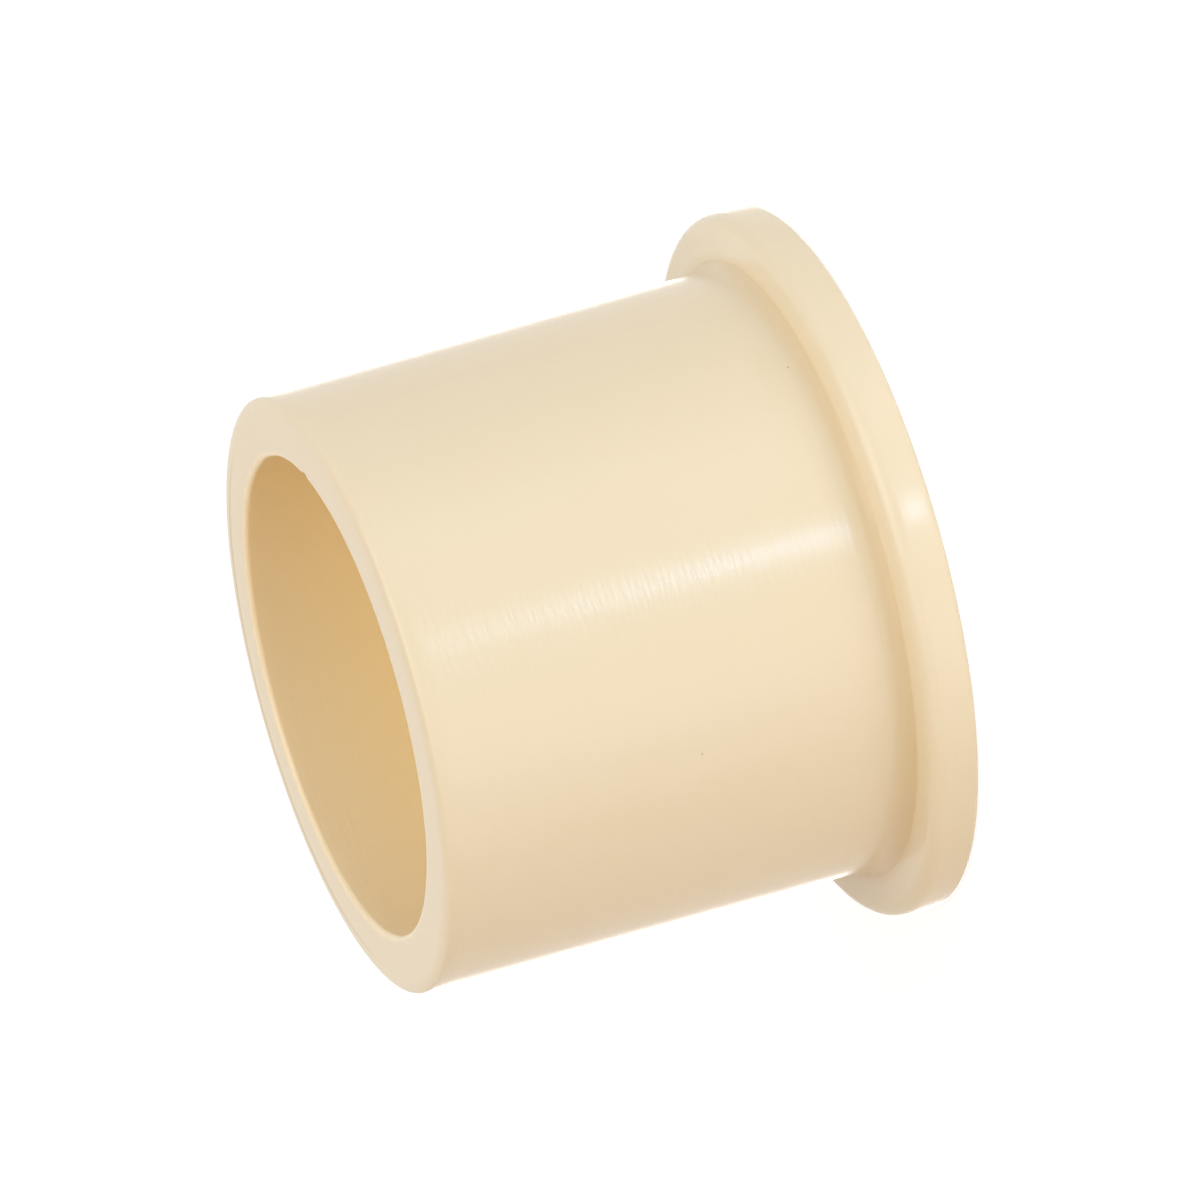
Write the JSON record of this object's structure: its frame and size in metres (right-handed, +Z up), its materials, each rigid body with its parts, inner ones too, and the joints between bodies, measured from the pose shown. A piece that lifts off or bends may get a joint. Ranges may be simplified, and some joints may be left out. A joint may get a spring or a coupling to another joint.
{
  "type": "reducing bushing",
  "caption": "Flanged plastic reducing bushing: a tapered spigot plugs a larger pipe fitting, and a socket with a waterway takes a smaller pipe.",
  "frame": {"origin": "centre of the flange's flat outer face, which the bushing stands on", "axes": "+Z up the common axis, from the flange to the open end of the spigot; X and Y are free, because the part is round"},
  "size_m": [0.0338, 0.0338, 0.025],
  "materials": {
    "cream_plastic": "satin, as moulded"
  },
  "bodies": {
    "root": {"bushing_body": "cream_plastic"}
  },
  "joints": []
}
